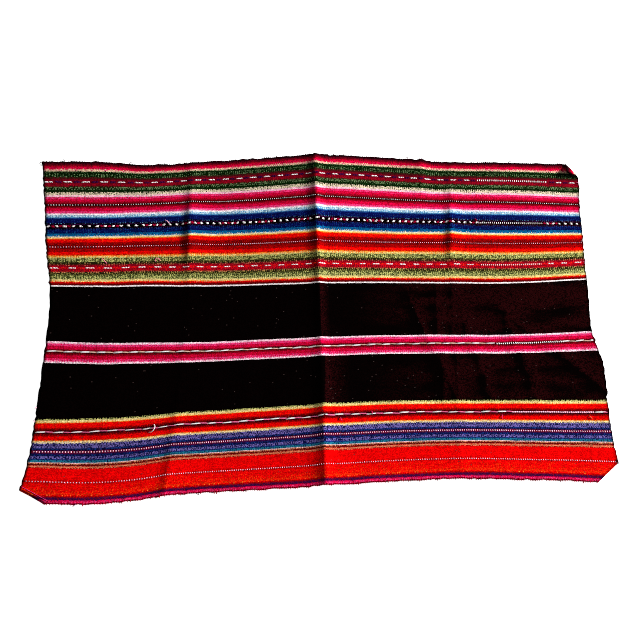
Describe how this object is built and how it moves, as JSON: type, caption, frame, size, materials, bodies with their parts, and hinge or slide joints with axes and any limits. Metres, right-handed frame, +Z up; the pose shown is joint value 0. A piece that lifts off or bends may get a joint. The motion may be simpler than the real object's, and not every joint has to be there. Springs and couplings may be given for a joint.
{
  "type": "aguayo carrying cloth",
  "caption": "Rectangular warp-striped handwoven carrying cloth, laid out flat with raised old fold creases and turned corners; its edges are all finished on the loom.",
  "frame": {"origin": "middle of the cloth's outline, on the surface that it lies on", "axes": "+X along the stripes towards the right end, +Y across them towards the far edge, +Z up"},
  "size_m": [1.134, 0.7333, 0.022],
  "materials": {
    "handspun_wool": "matte striped wool with a fine weft rib"
  },
  "bodies": {
    "root": {"cloth_panel": "handspun_wool"}
  },
  "joints": []
}
